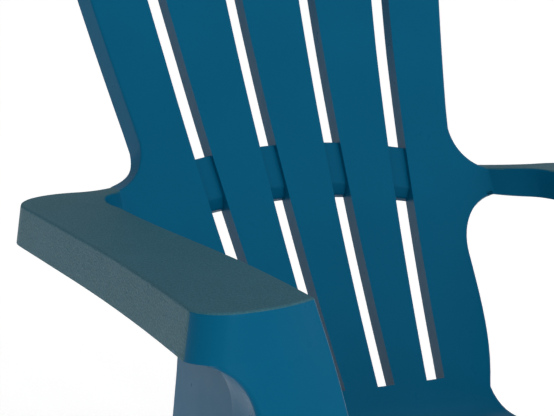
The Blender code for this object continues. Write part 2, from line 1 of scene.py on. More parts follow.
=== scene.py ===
"""Resin adirondack chair: the moulded shells, their finish, the floor and the light.

The chair is one thin-walled moulding.  Its outer surface is laid out here as one joined
skin, so that the slats, the crown, the seat, the arms and the front legs run into each
other, and is then parted into one closed shell for each member of the frame.  Everything
is in metres in the frame's own axes: the chair faces -Y, and left is -X.
"""
from math import atan2, cos, pi, radians, sin, sqrt

import bmesh
import bpy
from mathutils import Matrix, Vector


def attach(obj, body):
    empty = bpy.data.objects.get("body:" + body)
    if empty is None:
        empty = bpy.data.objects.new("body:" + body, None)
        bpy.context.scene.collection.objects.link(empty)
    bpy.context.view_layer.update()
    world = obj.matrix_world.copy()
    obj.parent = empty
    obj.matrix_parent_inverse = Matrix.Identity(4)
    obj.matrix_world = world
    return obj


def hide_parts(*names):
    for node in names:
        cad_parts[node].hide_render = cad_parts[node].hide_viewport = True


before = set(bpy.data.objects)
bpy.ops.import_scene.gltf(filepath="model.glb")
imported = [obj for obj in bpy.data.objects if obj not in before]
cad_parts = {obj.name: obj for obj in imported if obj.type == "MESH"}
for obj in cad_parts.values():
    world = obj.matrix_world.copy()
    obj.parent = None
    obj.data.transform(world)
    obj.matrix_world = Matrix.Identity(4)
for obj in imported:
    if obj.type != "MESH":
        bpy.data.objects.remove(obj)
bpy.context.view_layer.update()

# ------------------------------------------------------------------- sizes shared with the frame
CENTRE_Y = -0.0036
SHELL = 0.0030                        # wall thickness of the shells

BACK_Y, BACK_Z = 0.2481, 0.5765
LEAN, CURL, WRAP = radians(30.9), -0.3836, 0.2406
SLOT_INNER = (0.0403, 0.0341, 0.0209)
SLOT_OUTER = (0.1227, 0.1040, 0.0226)
SIDE_EDGE, SIDE_FAN = 0.1919, 0.1662
SLOT_DEPTH, FLANGE, FLARE = 0.022, 0.029, 0.003
SLOT_END, SLOT_END_ARCH = -0.2870, 0.182
SLOT_TOP, SLOT_TOP_ARCH = 0.352, -0.9
BAND_TOP, BAND_BOTTOM, BAND_ARCH = 0.0225, -0.0415, -0.744
BAND_RECESS, BAND_RAMP, BAND_RAMP_DEPTH = 0.006, 0.012, 0.008
CROWN_TOP, CROWN_ARCH, CROWN_CORNER = 0.412, -1.0, 0.045
EAR_X = 0.2320
EAR_TOP = (0.2475, 0.0300, 0.0500, 0.0575)
EAR_BOTTOM = (0.2400, -0.1350, 0.0580, 0.0760)
EAR_LOW_SLOPE, EAR_LOW_BEND = 0.0226, 4.48
EAR_WALL, EAR_RIM = 0.0045, 0.0012

BASE_R, BASE_S = 0.070, -0.300
SEAT_TILT, SEAT_RUN, SEAT_DISH = radians(8.0), 0.393, 0.12
SEAT_REAR_W, SEAT_REAR_Y, SEAT_FLARE = 0.1589, 0.0775, 0.165
SEAT_BORDER, SLAT_PITCH, SLAT_SLOT, SLAT_COUNT = 0.026, 0.066, 0.010, 5
LIP, NOSE_R, RAIL_DEPTH, NOSE_DEPTH = 0.012, 0.045, 0.055, 0.022
APRON_BOTTOM, APRON_RISE = 0.235, 0.030

ARM_Z, ARM_DRAFT = 0.560, 0.005
SKIRT_OUTER, SKIRT_INNER = 0.041, 0.034
ARM_INNER, ARM_WAVE, ARM_WAVE_Y, ARM_WAVE_HALF = 0.2735, 0.0042, -0.12, 0.31
ARM_OUTER, ARM_BOW, ARM_BOW_Y, ARM_BOW_RUN = 0.3690, 0.0135, -0.05, 0.35
ARM_FRONT, ARM_FRONT_X, ARM_FRONT_BOW = -0.418, 0.350, 0.0273
ARM_REAR, ARM_REAR_R, ARM_REAR_X = 0.208, 0.075, 0.2940
ARM_CORNER_R = 0.028
HOOK_END_Y = 0.090                    # the arm's inner edge is straight in front of this
HOOK_CUT = 0.52                       # share of the hook that the corner piece takes

TEE_Z = ARM_Z - SKIRT_OUTER
TEE_FILLET_Z = 0.462
LEG_RAKE, ANKLE_Z, PAD = 0.070, 0.024, 0.006
LEG_OUTER, LEG_FOOT_OUTER, LEG_CORNER_R = 0.334, 0.346, 0.005
LEG_WIDE_Z, LEG_WIDE_X, LEG_FOOT_INNER, LEG_INNER_POWER = 0.330, 0.2375, 0.2640, 2.1
LEG_REAR_Y, LEG_REAR_Z, LEG_REAR_SLOPE, LEG_FOOT_REAR = -0.219, 0.4795, 0.19, -0.348
BOARD_DEPTH, BOARD_STEP = 0.057, 0.004

REAR_LEG_TOP_X, REAR_LEG_FOOT_X, REAR_LEG_FLANGE = 0.1545, 0.2150, 0.032
REAR_LEG_TOP, REAR_LEG_FOOT = ((0.018, 0.288), (0.100, 0.316)), (0.340, 0.428)

RIM = 0.0032                          # rounding of the outer edges
SLOT_RIM = 0.0019                     # rounding of the edges of the slots
RIM_STEPS = 4
SKIRT_STEPS = 6                       # faces down the height of a skirt
TOP_STEPS = 4                         # faces across the top of the corner piece
SHARP = radians(60)                   # edges sharper than this are rounded
WELD, SHORTEST = 5e-5, 2e-5           # merge distance, and the shortest side that a face keeps

APRON_LEAN = radians(6.0)
SKIRT_LEAN = 0.001                    # the inner skirt's foot lies this far inside its top
SKIRT_RUN = 0.10                      # the skirt deepens over this length behind the leg
BOW_LOW_Z = 0.30                      # the front bow fades out at this height
BOWED = 0.004                         # rows whose ends lie further off than this are arched
EDGE_LEAD, EDGE_TAIL = Vector((0.007, -0.004, 0.0)), Vector((-0.027, -0.002, 0.0))
BOARD_RIM, WALL_LEAN = 0.0015, 0.002
BAND_OVERLAP = 0.012                  # the waist band runs this far past the outer slots
REAR_LEG_RIM = 0.007
STRETCHER_STEP, STRETCHER_GAP, STRETCHER_RIM = 0.50, 0.004, 0.004
STRETCHER_SECTION = ((0.014, -0.022), (-0.010, -0.022), (-0.010, 0.018), (0.014, 0.018))
RIB_X, RIB_RUN, RIB_DEPTH = 0.075, 0.385, 0.042

CAMERA_PLACE, CAMERA_LENS, CAMERA_SENSOR = (-0.8614, -1.6932, 0.8660), 118.85, 36.0
CAMERA_DIP, CAMERA_TURN = 9.333, -23.131
SKY_LEVEL, SKY_GAINS = 0.66, (("X", 0.12), ("Y", -0.50), ("Z", 0.20))
STRIP_PLACE, STRIP_TARGET = (0.50, -3.50, 1.10), (-0.30, -0.40, 0.50)
STRIP_SIZE, STRIP_POWER = (0.13, 1.7), 24.0
FLOOR_RADIUS, FLOOR_GLOW = 20.0, 0.27

NODE_NAMES = sorted(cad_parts)
NODE_INDEX = {name: i for i, name in enumerate(NODE_NAMES)}
SIDES = ((1, "right"), (-1, "left"))


# ------------------------------------------------------------------------------------ helpers
def spread(start, end, count):
    return [start + (end - start) * i / count for i in range(count + 1)]


def smooth(t):
    t = min(1.0, max(0.0, t))
    return t * t * (3 - 2 * t)


def mix(a, b, t):
    return a + (b - a) * t


def rim_profile(radius):
    """Inset from the edge and depth below the face, from the face down to the wall."""
    return [(radius * (1 - t) ** 2, radius * t * t) for t in spread(0.0, 1.0, RIM_STEPS)]


def rounded(corner, towards_a, towards_b, reach):
    """Points that round a corner, from its a side to its b side."""
    a = corner + towards_a.normalized() * reach
    b = corner + towards_b.normalized() * reach
    return [a * (1 - t) ** 2 + corner * 2 * t * (1 - t) + b * t * t
            for t in spread(0.0, 1.0, RIM_STEPS)]


class Skin:
    """The joined outer surface; each face knows which member it belongs to."""

    def __init__(self):
        self.bm = bmesh.new()

    def face(self, points, node):
        clean = [p for i, p in enumerate(points) if (p - points[i - 1]).length > SHORTEST]
        if len(clean) > 2:
            made = self.bm.faces.new([self.bm.verts.new(p) for p in clean])
            made.material_index = NODE_INDEX[node]

    def grid(self, rows, node, keep=None):
        for j in range(len(rows) - 1):
            for i in range(len(rows[j]) - 1):
                if keep is None or keep(i, j):
                    owner = node(i, j) if callable(node) else node
                    self.face((rows[j][i], rows[j][i + 1], rows[j + 1][i + 1], rows[j + 1][i]), owner)

    def both_sides(self, rows, stem):
        for side, word in SIDES:
            flipped = [[Vector((p.x * side, p.y, p.z)) for p in row] for row in rows]
            self.grid(flipped, stem + word)


# ------------------------------------------------------------------- surface of back and seat
def back_point(x, s, n=0.0):
    lean = LEAN + CURL * s
    y = BACK_Y + s * sin(LEAN) + CURL * s * s / 2 * cos(LEAN) - WRAP * x * x / 2
    z = BACK_Z + s * cos(LEAN) - CURL * s * s / 2 * sin(LEAN)
    normal = Vector((-WRAP * x * cos(lean), -cos(lean), sin(lean))).normalized()
    return Vector((x, y, z)) + n * normal


def slot_line(slot, side, s):
    centre, fan, width = slot
    return centre + fan * s + side * width / 2


def side_edge(s):
    """Outer edge of the back, with the fillets that run out into the ear."""
    cx, cs, half_x, half_s = EAR_TOP
    if s > cs:
        return max(SIDE_EDGE + SIDE_FAN * s, cx - half_x)
    if s > cs - half_s:
        return min(cx - half_x * sqrt(1 - ((cs - s) / half_s) ** 2), EAR_X)
    cx, cs, half_x, half_s = EAR_BOTTOM
    if s > cs + half_s:
        return EAR_X
    if s > cs:
        return min(cx - half_x * sqrt(1 - ((s - cs) / half_s) ** 2), EAR_X)
    below = cs - s
    return cx - half_x - EAR_LOW_SLOPE * below - EAR_LOW_BEND * below ** 3


def ear_limit(fillet, sign):
    """Height on the back at which a fillet reaches the ear's end."""
    cx, cs, half_x, half_s = fillet
    return cs + sign * half_s * sqrt(1 - ((cx - EAR_X) / half_x) ** 2)


EAR_HIGH = ear_limit(EAR_TOP, -1)
EAR_LOW = ear_limit(EAR_BOTTOM, 1)


def seat_half_width(y):
    return SEAT_REAR_W + SEAT_FLARE * (SEAT_REAR_Y - y)


BEND_FIRST = LEAN + CURL * BASE_S
BEND_LAST = pi / 2 + SEAT_TILT
BEND_LENGTH = BASE_R * (BEND_LAST - BEND_FIRST)
NOSE_START = BEND_LENGTH + SEAT_RUN
NOSE_LENGTH = NOSE_R * (BEND_LAST - APRON_LEAN)
BEND_BLEND = 0.060


def seat_centre(q):
    """Middle line from the back round the bend and along the seat: y, z, heading."""
    start = back_point(0.0, BASE_S)
    heading = min(BEND_FIRST + q / BASE_R, BEND_LAST)
    y = start.y + BASE_R * (cos(heading) - cos(BEND_FIRST))
    z = start.z - BASE_R * (sin(heading) - sin(BEND_FIRST))
    run = min(max(q - BEND_LENGTH, 0.0), SEAT_RUN)
    y -= run * sin(heading)
    z -= run * cos(heading)
    if q > NOSE_START:
        heading = BEND_LAST - min(q - NOSE_START, NOSE_LENGTH) / NOSE_R
        y -= NOSE_R * (cos(heading) - cos(BEND_LAST))
        z += NOSE_R * (sin(heading) - sin(BEND_LAST))
    below = max(0.0, q - NOSE_START - NOSE_LENGTH)
    return y - below * sin(heading), z - below * cos(heading), heading


def surface(x, v, n=0.0):
    """Back above BASE_S, bend and seat below it; v falls steadily along the whole run."""
    if v >= BASE_S:
        return back_point(x, v, n)
    y, z, heading = seat_centre(BASE_S - v)
    seat = smooth((BASE_S - v) / BEND_BLEND)
    out = Vector((0.0, -cos(heading), sin(heading)))
    dish = Vector((0.0, -WRAP / 2 * x * x, 0.0)).lerp(out * SEAT_DISH * x * x, seat)
    normal = (out - Vector((WRAP * x * cos(heading) * (1 - seat), 0.0, 0.0))).normalized()
    return Vector((x, y, z)) + dish + n * normal


# ------------------------------------------------------------- the hook from the ear to the arm
def arm_inner(y):
    return ARM_INNER + ARM_WAVE * sin(pi * (y - ARM_WAVE_Y) / ARM_WAVE_HALF)


def arm_outer(y):
    return ARM_OUTER + ARM_BOW * (min(0.0, y - ARM_BOW_Y) / ARM_BOW_RUN) ** 2


def bezier(p0, p1, p2, p3, t):
    r = 1 - t
    return p0 * r ** 3 + p1 * 3 * r * r * t + p2 * 3 * r * t * t + p3 * t ** 3


HOOK_START = back_point(EAR_X, EAR_HIGH)
HOOK_LOW = back_point(EAR_X, EAR_LOW)
HOOK_END = Vector((arm_inner(HOOK_END_Y), HOOK_END_Y, ARM_Z))
HOOK_LEAD, HOOK_TAIL = Vector((0.029, -0.048, 0.0)), Vector((0.010, 0.060, 0.0))
LEVEL = Vector((0.0, 1.0, 0.0))       # the flange turns level where it becomes the arm's top


def hook_inner(t):
    """Top inner edge, from the ear (0) to the straight part of the arm (1)."""
    level = Vector((HOOK_START.x, HOOK_START.y, ARM_Z))
    point = bezier(level, level + HOOK_LEAD, HOOK_END + HOOK_TAIL, HOOK_END, t)
    point.z += (HOOK_START.z - ARM_Z) * (1 - smooth(t / HOOK_CUT))
    return point


EDGE_START = HOOK_START + LEVEL * FLANGE
EDGE_NEAR = HOOK_START + LEVEL * (FLANGE - RIM)
EDGE_END = Vector((ARM_REAR_X, ARM_REAR, ARM_Z))


def hook_outer(u):
    """Top outer edge of the corner piece, from the ear's flange (0) to the arm (1)."""
    return bezier(EDGE_NEAR, EDGE_NEAR + EDGE_LEAD, EDGE_END + EDGE_TAIL, EDGE_END, u)


def hook_section(u):
    """Section of the corner piece, from the outer skirt's foot over the top and down inside."""
    t = u * HOOK_CUT
    edge, inner = hook_outer(u), hook_inner(t)
    turn = smooth(u)
    foot_drop = Vector((0.0, 0.0, -SKIRT_OUTER))
    foot = EDGE_START + (edge - EDGE_NEAR) + (EDGE_NEAR - EDGE_START + foot_drop) * turn
    foot.y += ARM_DRAFT * turn
    fall = HOOK_LOW - HOOK_START
    shift = cos(u * pi / 2)
    sole = Vector((inner.x - SKIRT_LEAN * turn, inner.y + fall.y * shift,
                   mix(HOOK_LOW.z, ARM_Z - SKIRT_INNER, turn)))
    over_edge = rounded(edge, foot - edge, inner - edge, RIM * (1 - 0.4 * (1 - turn)))
    over_inner = rounded(inner, edge - inner, sole - inner, RIM)
    skirt = [foot.lerp(over_edge[0], f) for f in spread(0.0, 1.0, SKIRT_STEPS)]
    top = [over_edge[-1].lerp(over_inner[0], f) for f in spread(0.0, 1.0, TOP_STEPS)]
    face = [over_inner[-1].lerp(sole, f) for f in spread(0.0, 1.0, SKIRT_STEPS)]
    return skirt[:-1] + over_edge + top[1:-1] + over_inner + face[1:]


HOOK_ROWS = [hook_section(u) for u in spread(0.0, 1.0, 16)]
EDGE_COUNT = SKIRT_STEPS + RIM_STEPS            # index of the last point of the outer rounding
INNER_COUNT = EDGE_COUNT + TOP_STEPS                 # index of the first point of the inner rounding


# --------------------------------------------------------------------- back, bend and seat
BLOCKS = (8, 1, 4, 1, 4, 1, 4, 1, 8)            # columns: slat, slot, slat, ...
BLOCK_OF = [block for block, count in enumerate(BLOCKS) for _ in range(count)]
SLOT_BLOCKS = (1, 3, 5, 7)
BACK_MEMBERS = {0: "back_slat_outer_left", 2: "back_slat_inner_left", 4: "back_slat_center",
                6: "back_slat_inner_right", 8: "back_slat_outer_right"}
NOSE_END = NOSE_START + NOSE_LENGTH
APRON_LENGTH = (seat_centre(NOSE_END)[1] - APRON_BOTTOM) / cos(APRON_LEAN)

# Depths of the points down the flange, as shares of its height, matched to the hook's section.
HOOK_NORMAL = (EDGE_START - HOOK_START).normalized()
WALL_SHARES = [((p - HOOK_START).dot(HOOK_NORMAL) - RIM) / (FLANGE - RIM)
               for p in reversed(HOOK_ROWS[0][:INNER_COUNT])]


class Station:
    """One row across the back or seat, given by its right-hand edge point."""

    def __init__(self, middle, edge, out, depth, flare=0.0, rim=RIM, own=None, turn=0.0):
        self.middle, self.edge, self.out, self.turn = middle, edge, out, turn
        self.depth, self.flare, self.rim, self.own = depth, flare, rim, own

    def end(self):
        if self.own:
            return self.edge
        return self.edge[0] - self.out[0] * self.rim, self.edge[1] - self.out[1] * self.rim

    def lines(self):
        """Positions across of the slats' edges, from the left edge to the right."""
        end_x = self.end()[0]
        s = min(max(self.middle, BASE_S), SLOT_TOP)
        half = [slot_line(slot, side, s) for slot in (SLOT_INNER, SLOT_OUTER) for side in (-1, 1)]
        if self.middle > SLOT_TOP:
            half = [x * end_x / (SIDE_EDGE + SIDE_FAN * 0.30) for x in half]
        if self.middle < BASE_S:
            seat = smooth((BASE_S - self.middle) / BEND_LENGTH)
            scale = mix(1.0, (end_x + RIM - SEAT_BORDER) / half[3], seat)
            half = [x * scale for x in half]
        return [-end_x] + [-x for x in reversed(half)] + half + [end_x]

    def places(self):
        """Place on the surface of every point of the row: across, along."""
        end_x, end_s = self.end()
        arch = (end_s - self.middle) / end_x ** 2 if self.bowed() else 0.0
        lines, places = self.lines(), []
        for block, count in enumerate(BLOCKS):
            for f in spread(0.0, 1.0, count)[1 if block else 0:]:
                x = mix(lines[block], lines[block + 1], f)
                pull = max(0.0, (abs(x) - lines[8]) / (end_x - lines[8]))
                drift = 0.0 if self.bowed() else (end_s - self.middle) * pull ** 3
                places.append((x, self.middle + arch * x * x + drift))
        return places

    def bowed(self):
        return abs(self.edge[1] - self.middle) > BOWED

    def face_row(self):
        points = [surface(x, s) for x, s in self.places()]
        if self.own:
            points[-1] = self.own
            points[0] = Vector((-self.own.x, self.own.y, self.own.z))
        return points

    def rim_row(self):
        section = [(-inset, depth) for inset, depth in rim_profile(self.rim)]
        section += [(self.flare * f, mix(self.rim, self.depth, f)) for f in WALL_SHARES]
        points = []
        for reach, depth in section:
            place = self.edge[0] + self.out[0] * reach, self.edge[1] + self.out[1] * reach
            upright = surface(*place, 1.0) - surface(*place)
            points.append(surface(*place, -depth) + (LEVEL + upright) * depth * self.turn)
        return points


def side_station(middle, arch):
    """A row of the back whose end lies on the side edge, arched by the given amount."""
    s = middle
    for _ in range(4):
        s = middle + arch * side_edge(s) ** 2
    step = 0.0008
    slope = (side_edge(s + step) - side_edge(s - step)) / (2 * step)
    length = sqrt(1 + slope * slope)
    return Station(middle, (side_edge(s), s), (1 / length, -slope / length), FLANGE, FLARE)


def fillet_stations(fillet, sign, end_flange, end_rim, end_turn):
    """Rows where the side edge sweeps out into the ear, spaced evenly round the fillet."""
    cx, cs, half_x, half_s = fillet
    reach = atan2(sqrt(1 - ((cx - EAR_X) / half_x) ** 2), (cx - EAR_X) / half_x)
    stations = []
    for angle in spread(0.0, reach, 14)[:-1]:
        s = cs + sign * half_s * sin(angle)
        nx, ns = cos(angle) / half_x, -sign * sin(angle) / half_s
        length = sqrt(nx * nx + ns * ns)
        fade = smooth(angle / reach)
        stations.append(Station(s, (cx - half_x * cos(angle), s), (nx / length, ns / length),
                                mix(FLANGE, end_flange, fade), FLARE * (1 - fade),
                                mix(RIM, end_rim, fade), turn=end_turn * fade))
    return stations


def crown_stations():
    """Rows of the crown, from the slots' tops round the corner to the top edge."""
    turn = pi / 2 - 2 * abs(CROWN_ARCH) * CROWN_CORNER_X
    corner_s = (CROWN_TOP + CROWN_ARCH * (CROWN_CORNER_X + CROWN_CORNER * cos(turn)) ** 2
                - CROWN_CORNER * sin(turn))
    start = side_station(SLOT_TOP, SLOT_TOP_ARCH)
    outline = []
    for angle in spread(-SIDE_FAN, turn, 14):
        outline.append((CROWN_CORNER_X + CROWN_CORNER * cos(angle),
                        corner_s + CROWN_CORNER * sin(angle), angle))
    rows = []
    top_middle = CROWN_TOP - RIM
    for x, s, angle in outline:
        climb = (s - start.edge[1]) / (outline[-1][1] - start.edge[1])
        middle = mix(SLOT_TOP, top_middle, 0.3 * climb + 0.7 * climb ** 2)
        rows.append(Station(middle, (x, s), (cos(angle), sin(angle)), FLANGE, FLARE))
    return rows


CROWN_CORNER_X = SIDE_EDGE + SIDE_FAN * 0.335 - CROWN_CORNER


def seat_marks():
    """Distances along the seat: the bend, the slats' edges, the nose and the apron."""
    marks = spread(0.0, BEND_LENGTH, 8)[1:]
    for number in range(SLAT_COUNT + 1):
        start = BEND_LENGTH + number * SLAT_PITCH + SLAT_SLOT
        finish = NOSE_START if number == SLAT_COUNT else start + SLAT_PITCH - SLAT_SLOT
        marks += spread(start, finish, 3)
    return marks + spread(NOSE_START, NOSE_END, 10)[1:] + [NOSE_END + APRON_LENGTH * 0.3]


def seat_station(q):
    edge = seat_half_width(seat_centre(min(q, NOSE_START))[0])
    deepen = smooth(q / BEND_LENGTH)
    nose = min(1.0, max(0.0, (q - NOSE_START) / NOSE_LENGTH))
    depth = mix(mix(FLANGE, RAIL_DEPTH, deepen), NOSE_DEPTH, nose)
    return Station(BASE_S - q, (edge, BASE_S - q), (1.0, 0.0), depth, FLARE * (1 - deepen))


def apron_foot():
    q = NOSE_END + APRON_LENGTH
    edge = seat_half_width(seat_centre(NOSE_START)[0])
    return Station(BASE_S - q + APRON_RISE, (edge, BASE_S - q), (1.0, -1.0), NOSE_DEPTH)


def all_stations():
    """Every row from the apron's foot up to the top of the crown."""
    rows = [apron_foot()] + [seat_station(q) for q in reversed(seat_marks())]
    rows.append(seat_station(0.0))
    rows.append(side_station(mix(BASE_S, SLOT_END, 0.5), SLOT_END_ARCH / 2))
    for middle in spread(SLOT_END, EAR_BOTTOM[1], 9)[:-1]:
        rows.append(side_station(middle, SLOT_END_ARCH * (1 - smooth((middle - SLOT_END) / 0.07))))
    rows += fillet_stations(EAR_BOTTOM, 1, EAR_WALL, EAR_RIM, 0.0)
    face = HOOK_ROWS[0][INNER_COUNT + RIM_STEPS:]
    for k in range(SKIRT_STEPS, -1, -1):
        s = mix(EAR_HIGH - RIM, EAR_LOW, k / SKIRT_STEPS)
        rows.append(Station(s, (EAR_X, s), (1.0, 0.0), 0.0, own=face[k]))
    rows += reversed(fillet_stations(EAR_TOP, -1, FLANGE, RIM, 1.0))
    for middle in spread(EAR_TOP[1], SLOT_TOP, 12)[1:]:
        rows.append(side_station(middle, SLOT_TOP_ARCH * smooth((middle - 0.10) / (SLOT_TOP - 0.10))))
    return rows + crown_stations()


def member_at(row_middle, block):
    """Member that a face of the back or seat belongs to; None over a slot."""
    if row_middle > SLOT_TOP:
        return "back_crown"
    if row_middle > SLOT_END:
        return BACK_MEMBERS.get(block)
    q = BASE_S - row_middle
    if q < BEND_LENGTH:
        return "seat_back_bend"
    if q > NOSE_END:
        return "seat_apron"
    if block in (0, 8):
        return "seat_rail_" + ("left" if block == 0 else "right")
    number, place = divmod(q - BEND_LENGTH, SLAT_PITCH)
    if place < SLAT_SLOT and number <= SLAT_COUNT:
        return None
    return "seat_slat_%d" % (number + 1) if number < SLAT_COUNT else "seat_nose"


def lay_back_and_seat(skin):
    stations = all_stations()
    rows = [station.face_row() for station in stations]
    places = [station.places() for station in stations]
    owners = []
    for low, high in zip(stations, stations[1:]):
        middle = (low.middle + high.middle) / 2
        owners.append([member_at(middle, block) for block in BLOCK_OF])
    skin.grid(rows, lambda i, j: owners[j][i], lambda i, j: owners[j][i])
    lay_slot_walls(skin, rows, places, owners)
    lay_side_rims(skin, stations, owners)
    for index, sign in ((0, -1), (-1, 1)):
        lay_end_rim(skin, stations[index], owners[index][4], sign)


def lay_slot_walls(skin, rows, places, owners):
    """Walls round every opening in the grid of faces."""
    def wall(a, b, owner):
        top = [rows[j][i] for j, i in (a, b)]
        foot = []
        for j, i in (a, b):
            x, v = places[j][i]
            foot.append(surface(x, v, -(SLOT_DEPTH if v > BASE_S else LIP)))
        skin.face((top[0], top[1], foot[1], foot[0]), owner)

    for j, row in enumerate(owners):
        for i, owner in enumerate(row):
            if owner is not None:
                continue
            around = (((j, i), (j + 1, i), row[i - 1]), ((j, i + 1), (j + 1, i + 1), row[i + 1]),
                      ((j, i), (j, i + 1), owners[j - 1][i]),
                      ((j + 1, i), (j + 1, i + 1), owners[j + 1][i]))
            for a, b, neighbour in around:
                if neighbour is not None:
                    wall(a, b, neighbour)


def lay_side_rims(skin, stations, owners):
    """Rounding and flange along both sides, broken where the ears run into the arms."""
    hook_rim = list(reversed(HOOK_ROWS[0][:INNER_COUNT + RIM_STEPS + 1]))
    for j, (low, high) in enumerate(zip(stations, stations[1:])):
        if low.own and high.own:
            continue
        pair = []
        for station in (low, high):
            if station.own is None:
                pair.append(station.rim_row())
            elif station is low:
                pair.append(hook_rim)
            else:
                end = Station(EAR_LOW, (EAR_X, EAR_LOW), (0.0, -1.0), EAR_WALL, rim=EAR_RIM)
                pair.append([station.own] + end.rim_row()[1:])
        for side, column in ((1, -1), (-1, 0)):
            flipped = [[Vector((p.x * side, p.y, p.z)) for p in row] for row in pair]
            skin.grid(flipped, owners[j][column])


def lay_end_rim(skin, station, owner, sign):
    """Rounding and flange along the crown's top edge or the apron's foot."""
    end_x, end_s = station.edge
    middle = station.middle + sign * station.rim
    arch = (end_s - middle) / end_x ** 2
    columns = []
    for x, s in station.places():
        across = x * end_x / station.end()[0]
        slope = 2 * arch * across
        length = sqrt(1 + slope * slope)
        out = (-sign * slope / length, sign / length)
        if abs(x) > station.end()[0] - 1e-6:
            out = (station.out[0] * (1 if x > 0 else -1), station.out[1])
        place = Station(s, (x + out[0] * station.rim, s + out[1] * station.rim), out,
                        station.depth, station.flare, station.rim)
        columns.append(place.rim_row())
    skin.grid(columns, owner)


# -------------------------------------------------------------------------- arm and front leg
def tee_outer(z):
    """Outer face of the front board: the leg's side, sweeping out under the arm."""
    if z < TEE_FILLET_Z:
        fall = 1 - max(z, ANKLE_Z) / TEE_FILLET_Z
        return LEG_OUTER + (LEG_FOOT_OUTER - LEG_OUTER) * fall
    reach = arm_outer(ARM_FRONT + ARM_CORNER_R) + ARM_DRAFT - LEG_OUTER
    rise = min(1.0, (z - TEE_FILLET_Z) / (TEE_Z - TEE_FILLET_Z))
    top = LEG_OUTER + reach * (1 - sqrt(1 - rise * rise))
    return top - ARM_DRAFT * max(0.0, (z - TEE_Z) / SKIRT_OUTER)


def leg_inner(z):
    if z > LEG_WIDE_Z:
        rise = (z - LEG_WIDE_Z) / (ARM_Z - LEG_WIDE_Z)
        return LEG_WIDE_X + (ARM_INNER - LEG_WIDE_X) * rise ** LEG_INNER_POWER
    fall = 1 - max(z, ANKLE_Z) / LEG_WIDE_Z
    return LEG_WIDE_X + (LEG_FOOT_INNER - LEG_WIDE_X) * (1 - cos(pi * fall)) / 2


def leg_rear(z):
    if z > LEG_WIDE_Z:
        return LEG_REAR_Y + LEG_REAR_SLOPE * (LEG_REAR_Z - z)
    top = LEG_REAR_Y + LEG_REAR_SLOPE * (LEG_REAR_Z - LEG_WIDE_Z)
    fall = 1 - max(z, ANKLE_Z) / LEG_WIDE_Z
    run_on = LEG_REAR_SLOPE * LEG_WIDE_Z * fall * (1 - fall) ** 2
    return top + run_on + (LEG_FOOT_REAR - top) * smooth(fall)


def board_front(x, z):
    """Front face of arm and leg, bowed back towards the inner edge near the arm."""
    inner = leg_inner(z)
    share = max(0.0, (ARM_FRONT_X - x) / (ARM_FRONT_X - inner))
    bow = ARM_FRONT_BOW * smooth((z - BOW_LOW_Z) / (ARM_Z - BOW_LOW_Z)) * share ** 2
    return ARM_FRONT + bow - LEG_RAKE * max(0.0, TEE_Z - max(z, ANKLE_Z))


def corner_radius(z):
    return max(LEG_CORNER_R, ARM_CORNER_R - max(0.0, tee_outer(TEE_Z) - tee_outer(min(z, TEE_Z))))


INNER_MARKS, FRONT_MARKS, CORNER_MARKS, SIDE_MARKS, INNER_CORNER_R = 8, 10, 10, 3, 0.004


def front_plan(z):
    """Plan of the arm's front end and of the leg below it: inner wall, front, outer board."""
    inner, outer, radius = leg_inner(z), tee_outer(z), corner_radius(z)
    small = INNER_CORNER_R
    corner_y = board_front(inner + small, z) + small
    rear = leg_rear(min(z, TEE_Z))
    points = [Vector((inner, mix(rear, corner_y, f), z)) for f in spread(0.0, 1.0, INNER_MARKS)]
    if z > TEE_Z:
        share = (z - TEE_Z) / SKIRT_OUTER
        bottom = leg_inner(TEE_Z)
        for p in points:
            p.x = mix(bottom, arm_inner(p.y), share)
        front_shift = points[-1].x - inner
        fade = spread(0.0, 1.0, INNER_MARKS)
        for p, f in zip(points, fade):
            p.x -= front_shift * f
    for angle in spread(0.0, pi / 2, 4)[1:]:
        points.append(Vector((inner + small - small * cos(angle), corner_y - small * sin(angle), z)))
    for f in spread(0.0, 1.0, FRONT_MARKS)[1:]:
        x = mix(inner + small, outer - radius, f)
        points.append(Vector((x, board_front(x, z), z)))
    middle_y = board_front(outer - radius, z) + radius
    for angle in spread(-pi / 2, 0.0, CORNER_MARKS)[1:]:
        points.append(Vector((outer - radius + radius * cos(angle), middle_y + radius * sin(angle), z)))
    end_y = board_front(outer - radius, z) + BOARD_DEPTH
    lean_out = arm_outer(end_y) - arm_outer(middle_y)
    lean_out *= smooth((z - TEE_FILLET_Z) / (TEE_Z - TEE_FILLET_Z))
    for f in spread(0.0, 1.0, SIDE_MARKS)[1:]:
        points.append(Vector((outer + lean_out * f, mix(middle_y, end_y, f), z)))
    return points


def lay_leg(skin):
    """Front leg: the board with its swept tee, the step behind it and the side wall."""
    heights = [TEE_Z - (TEE_Z - TEE_FILLET_Z) * (1 - sin(a)) for a in spread(pi / 2, 0.0, 12)]
    heights += spread(TEE_FILLET_Z, ANKLE_Z, 14)[1:] + [PAD]
    rows = []
    for z in heights:
        row = front_plan(z)
        edge = row[-1]
        wall_x = tee_outer(min(z, TEE_FILLET_Z)) - BOARD_STEP
        row = row[:-1] + rounded(edge, row[-2] - edge, Vector((-1.0, 0.0, 0.0)), BOARD_RIM)
        row.append(Vector((wall_x, edge.y, z)))
        rear = leg_rear(min(z, TEE_Z))
        row += [Vector((wall_x - WALL_LEAN * f, mix(edge.y, rear, f), z))
                for f in spread(0.0, 1.0, 5)[1:]]
        rows.append(row)
    skin.both_sides(rows, "front_leg_")


